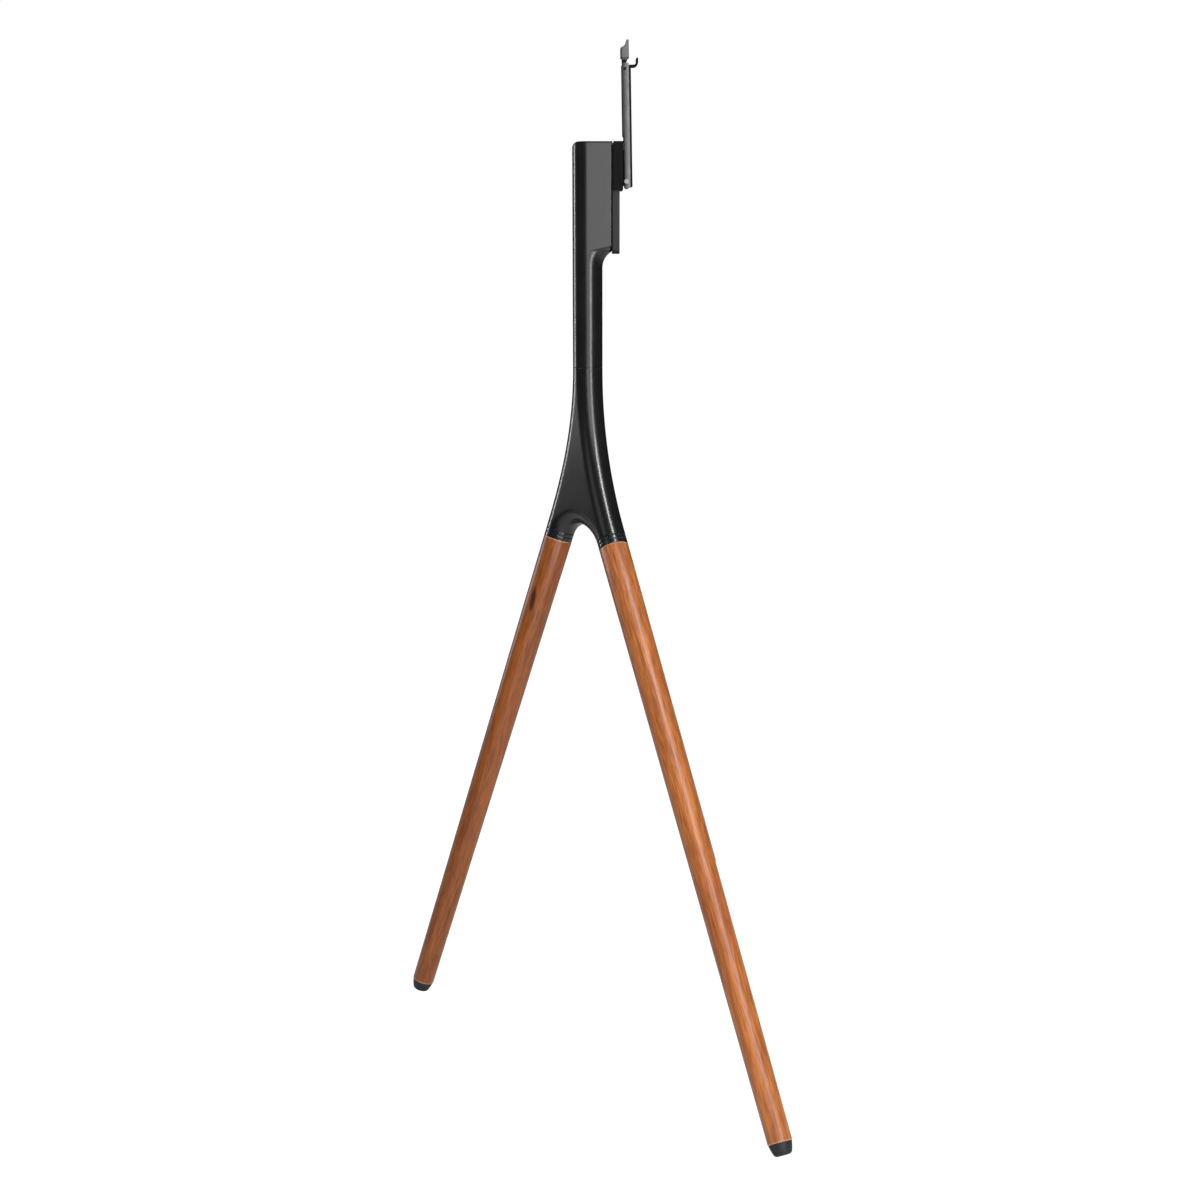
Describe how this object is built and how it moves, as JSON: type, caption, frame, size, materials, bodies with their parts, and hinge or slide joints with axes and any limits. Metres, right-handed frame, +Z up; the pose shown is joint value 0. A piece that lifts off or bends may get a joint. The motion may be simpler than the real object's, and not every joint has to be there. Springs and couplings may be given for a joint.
{
  "type": "tripod display floor stand",
  "caption": "Tripod floor stand with turned wooden legs, a black cast hub and column, and a tilting, height-adjustable hook bar for a flat display.",
  "frame": {"origin": "floor level, centre of the footprint's bounding box", "axes": "+Z up along the column, +X towards the display side, +Y to the stand's left"},
  "size_m": [0.5176, 1.0856, 1.4111],
  "materials": {
    "leg_wood": "satin",
    "black_casting": "satin black paint",
    "collar_black": "gloss",
    "foot_rubber": "matt",
    "black_steel": "fine matt",
    "grey_steel": "satin",
    "rail_metal": "dark anodised",
    "bright_steel": "zinc plated",
    "black_plastic": "matt",
    "brass": "bare"
  },
  "bodies": {
    "stand": {"front_left_leg": "leg_wood", "front_right_leg": "leg_wood", "rear_leg": "leg_wood", "front_left_collar": "collar_black", "front_right_collar": "collar_black", "rear_collar": "collar_black", "front_left_foot": "foot_rubber", "front_right_foot": "foot_rubber", "rear_foot": "foot_rubber", "leg_studs": "bright_steel", "leg_inserts": "brass", "foot_screws": "bright_steel", "foot_washers": "bright_steel", "leg_hub": "black_casting", "column_spigot": "rail_metal", "spigot_screws": "black_steel", "column": "black_casting", "head_cap": "black_plastic", "cap_screws": "black_steel", "rail_spacer": "black_plastic", "height_rail": "rail_metal", "rail_screws": "bright_steel", "rail_stop": "black_plastic"},
    "carriage": {"carriage": "black_steel", "slide_nut": "bright_steel", "height_screws": "black_steel", "height_washers": "black_steel", "tilt_bushes": "brass", "tilt_washers": "black_plastic", "stop_pads": "foot_rubber"},
    "hook_bar": {"tilt_channel": "grey_steel", "hook_plate": "black_steel", "plate_screws": "bright_steel", "plate_nuts": "bright_steel", "tilt_pin": "bright_steel", "tilt_nut": "bright_steel", "release_pin": "black_steel", "release_spring": "bright_steel"},
    "release_tab": {"release_tab": "grey_steel"}
  },
  "joints": [
    {"name": "height_slide", "type": "slide", "parent": "stand", "child": "carriage", "axis": [0, 0, 1], "range_m": [-0.08, 0]},
    {"name": "bar_tilt", "type": "hinge", "parent": "carriage", "child": "hook_bar", "pos_m": [0.06908, 0, 1.218], "axis": [0, 1, 0], "range_deg": [0, 6]},
    {"name": "tab_release", "type": "hinge", "parent": "hook_bar", "child": "release_tab", "pos_m": [0.06591, 0, 1.37097], "axis": [0, 1, 0], "range_deg": [-12, 0], "stiffness_Nm_per_rad": 0.05, "springref_deg": 8.02}
  ]
}
